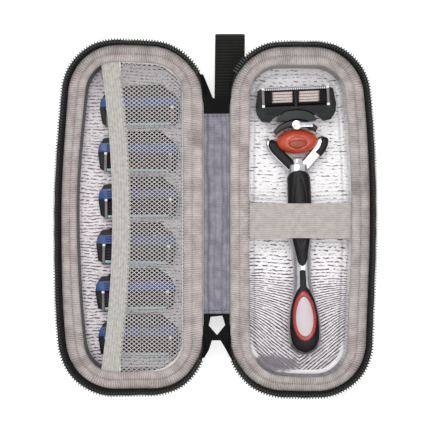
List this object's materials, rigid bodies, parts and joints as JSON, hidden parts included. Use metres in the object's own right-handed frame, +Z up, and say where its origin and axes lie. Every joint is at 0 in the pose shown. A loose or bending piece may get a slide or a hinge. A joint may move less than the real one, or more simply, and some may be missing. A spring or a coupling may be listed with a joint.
{
  "type": "razor storage box",
  "caption": "Zipped hard case lying open, with a strapped swivel-head razor in one foil tray and spare blade cartridges in the net pocket of the other",
  "frame": {"origin": "bottom centre of the bounding box, on the surface that the open case lies on", "axes": "+X across the open halves, from the spare cartridges to the razor; +Y along the case, towards the razor's head and the hand loop; +Z up, out of the trays"},
  "size_m": [0.1716, 0.1928, 0.0295],
  "materials": {
    "moulded_shell": "matte woven cover on moulded foam",
    "silver_foil": "crinkled silver film",
    "ribbed_binding": "ribbed grey fabric",
    "zip_tape": "woven tape",
    "zip_teeth": "satin",
    "black_webbing": "ribbed webbing",
    "grey_elastic": "ribbed elastic",
    "pocket_net": "knitted net",
    "black_fabric": "woven",
    "spine_lining": "soft woven lining",
    "slider_metal": "gloss black",
    "chrome": "polished",
    "grip_rubber": "matte",
    "ring_red": "gloss",
    "inlay_grey": "satin",
    "ball_orange": "gloss",
    "button_orange": "satin",
    "head_plastic": "satin",
    "cartridge_black": "satin",
    "blade_steel": "polished",
    "guard_black": "matte",
    "strip_white": "satin",
    "guard_blue": "satin",
    "strip_pale": "satin"
  },
  "bodies": {
    "right_half": {"right_outer_shell": "moulded_shell", "right_foil_liner": "silver_foil", "right_binding": "ribbed_binding", "right_zip_tape": "zip_tape", "right_zip_teeth": "zip_teeth", "hand_loop": "black_webbing", "holding_strap": "grey_elastic"},
    "spine": {"spine_fabric": "black_fabric", "spine_lining": "spine_lining", "top_web": "black_fabric", "bottom_web": "black_fabric", "zip_slider": "slider_metal"},
    "left_half": {"left_outer_shell": "moulded_shell", "left_foil_liner": "silver_foil", "left_binding": "ribbed_binding", "left_zip_tape": "zip_tape", "left_zip_teeth": "zip_teeth", "pocket_edge": "grey_elastic", "pocket_net": "pocket_net", "spare_1_frame": "cartridge_black", "spare_1_blades": "blade_steel", "spare_1_guard": "guard_blue", "spare_1_strip": "strip_pale", "spare_2_frame": "cartridge_black", "spare_2_blades": "blade_steel", "spare_2_guard": "guard_blue", "spare_2_strip": "strip_pale", "spare_3_frame": "cartridge_black", "spare_3_blades": "blade_steel", "spare_3_guard": "guard_blue", "spare_3_strip": "strip_pale", "spare_4_frame": "cartridge_black", "spare_4_blades": "blade_steel", "spare_4_guard": "guard_blue", "spare_4_strip": "strip_pale", "spare_5_frame": "cartridge_black", "spare_5_blades": "blade_steel", "spare_5_guard": "guard_blue", "spare_5_strip": "strip_pale", "spare_6_frame": "cartridge_black", "spare_6_blades": "blade_steel", "spare_6_guard": "guard_blue", "spare_6_strip": "strip_pale"},
    "pull_tab": {"zip_pull": "slider_metal"},
    "razor": {"razor_handle": "chrome", "razor_front_grip": "grip_rubber", "razor_end_grip": "grip_rubber", "razor_end_ring": "ring_red", "razor_end_inlay": "inlay_grey", "razor_yoke": "chrome", "razor_ball": "ball_orange"},
    "release_button": {"razor_release_button": "button_orange"},
    "razor_head": {"razor_swivel_ring": "head_plastic", "razor_pivot_lug": "chrome", "razor_head_hub": "head_plastic"},
    "razor_cartridge": {"razor_cartridge_frame": "cartridge_black", "razor_cartridge_blades": "blade_steel", "razor_cartridge_guard": "guard_black", "razor_cartridge_strip": "strip_white"}
  },
  "joints": [
    {"name": "spine_fold", "type": "hinge", "parent": "right_half", "child": "spine", "pos_m": [0.00715, -0.002, 0.022], "axis": [0, 1, 0], "range_deg": [0, 90]},
    {"name": "left_half_fold", "type": "hinge", "parent": "spine", "child": "left_half", "pos_m": [-0.00715, -0.002, 0.022], "axis": [0, 1, 0], "range_deg": [0, 90]},
    {"name": "pull_tab_swing", "type": "hinge", "parent": "spine", "child": "pull_tab", "pos_m": [0, 0.0547, 0.0141], "axis": [1, 0, 0], "range_deg": [-90, 30]},
    {"name": "razor_slide", "type": "slide", "parent": "right_half", "child": "razor", "axis": [-0.0401, 0.9992, 0], "range_m": [-0.003, 0.003]},
    {"name": "release_button_push", "type": "slide", "parent": "razor", "child": "release_button", "axis": [-0.0401, 0.9992, 0], "range_m": [0, 0.0012], "stiffness_N_per_m": 300, "springref_m": -0.002},
    {"name": "head_swivel", "type": "hinge", "parent": "razor", "child": "razor_head", "pos_m": [0.0432, 0.0388, 0.0112], "axis": [0, 0, 1], "range_deg": [-8, 4], "stiffness_Nm_per_rad": 0.02},
    {"name": "cartridge_pivot", "type": "hinge", "parent": "razor_head", "child": "razor_cartridge", "pos_m": [0.0426, 0.05379, 0.0102], "axis": [-0.9992, -0.0401, 0], "range_deg": [0, 20], "stiffness_Nm_per_rad": 0.02, "springref_deg": -11.46}
  ],
  "couplings": [
    {"joint": "left_half_fold", "follows": "spine_fold", "ratio": 1}
  ]
}
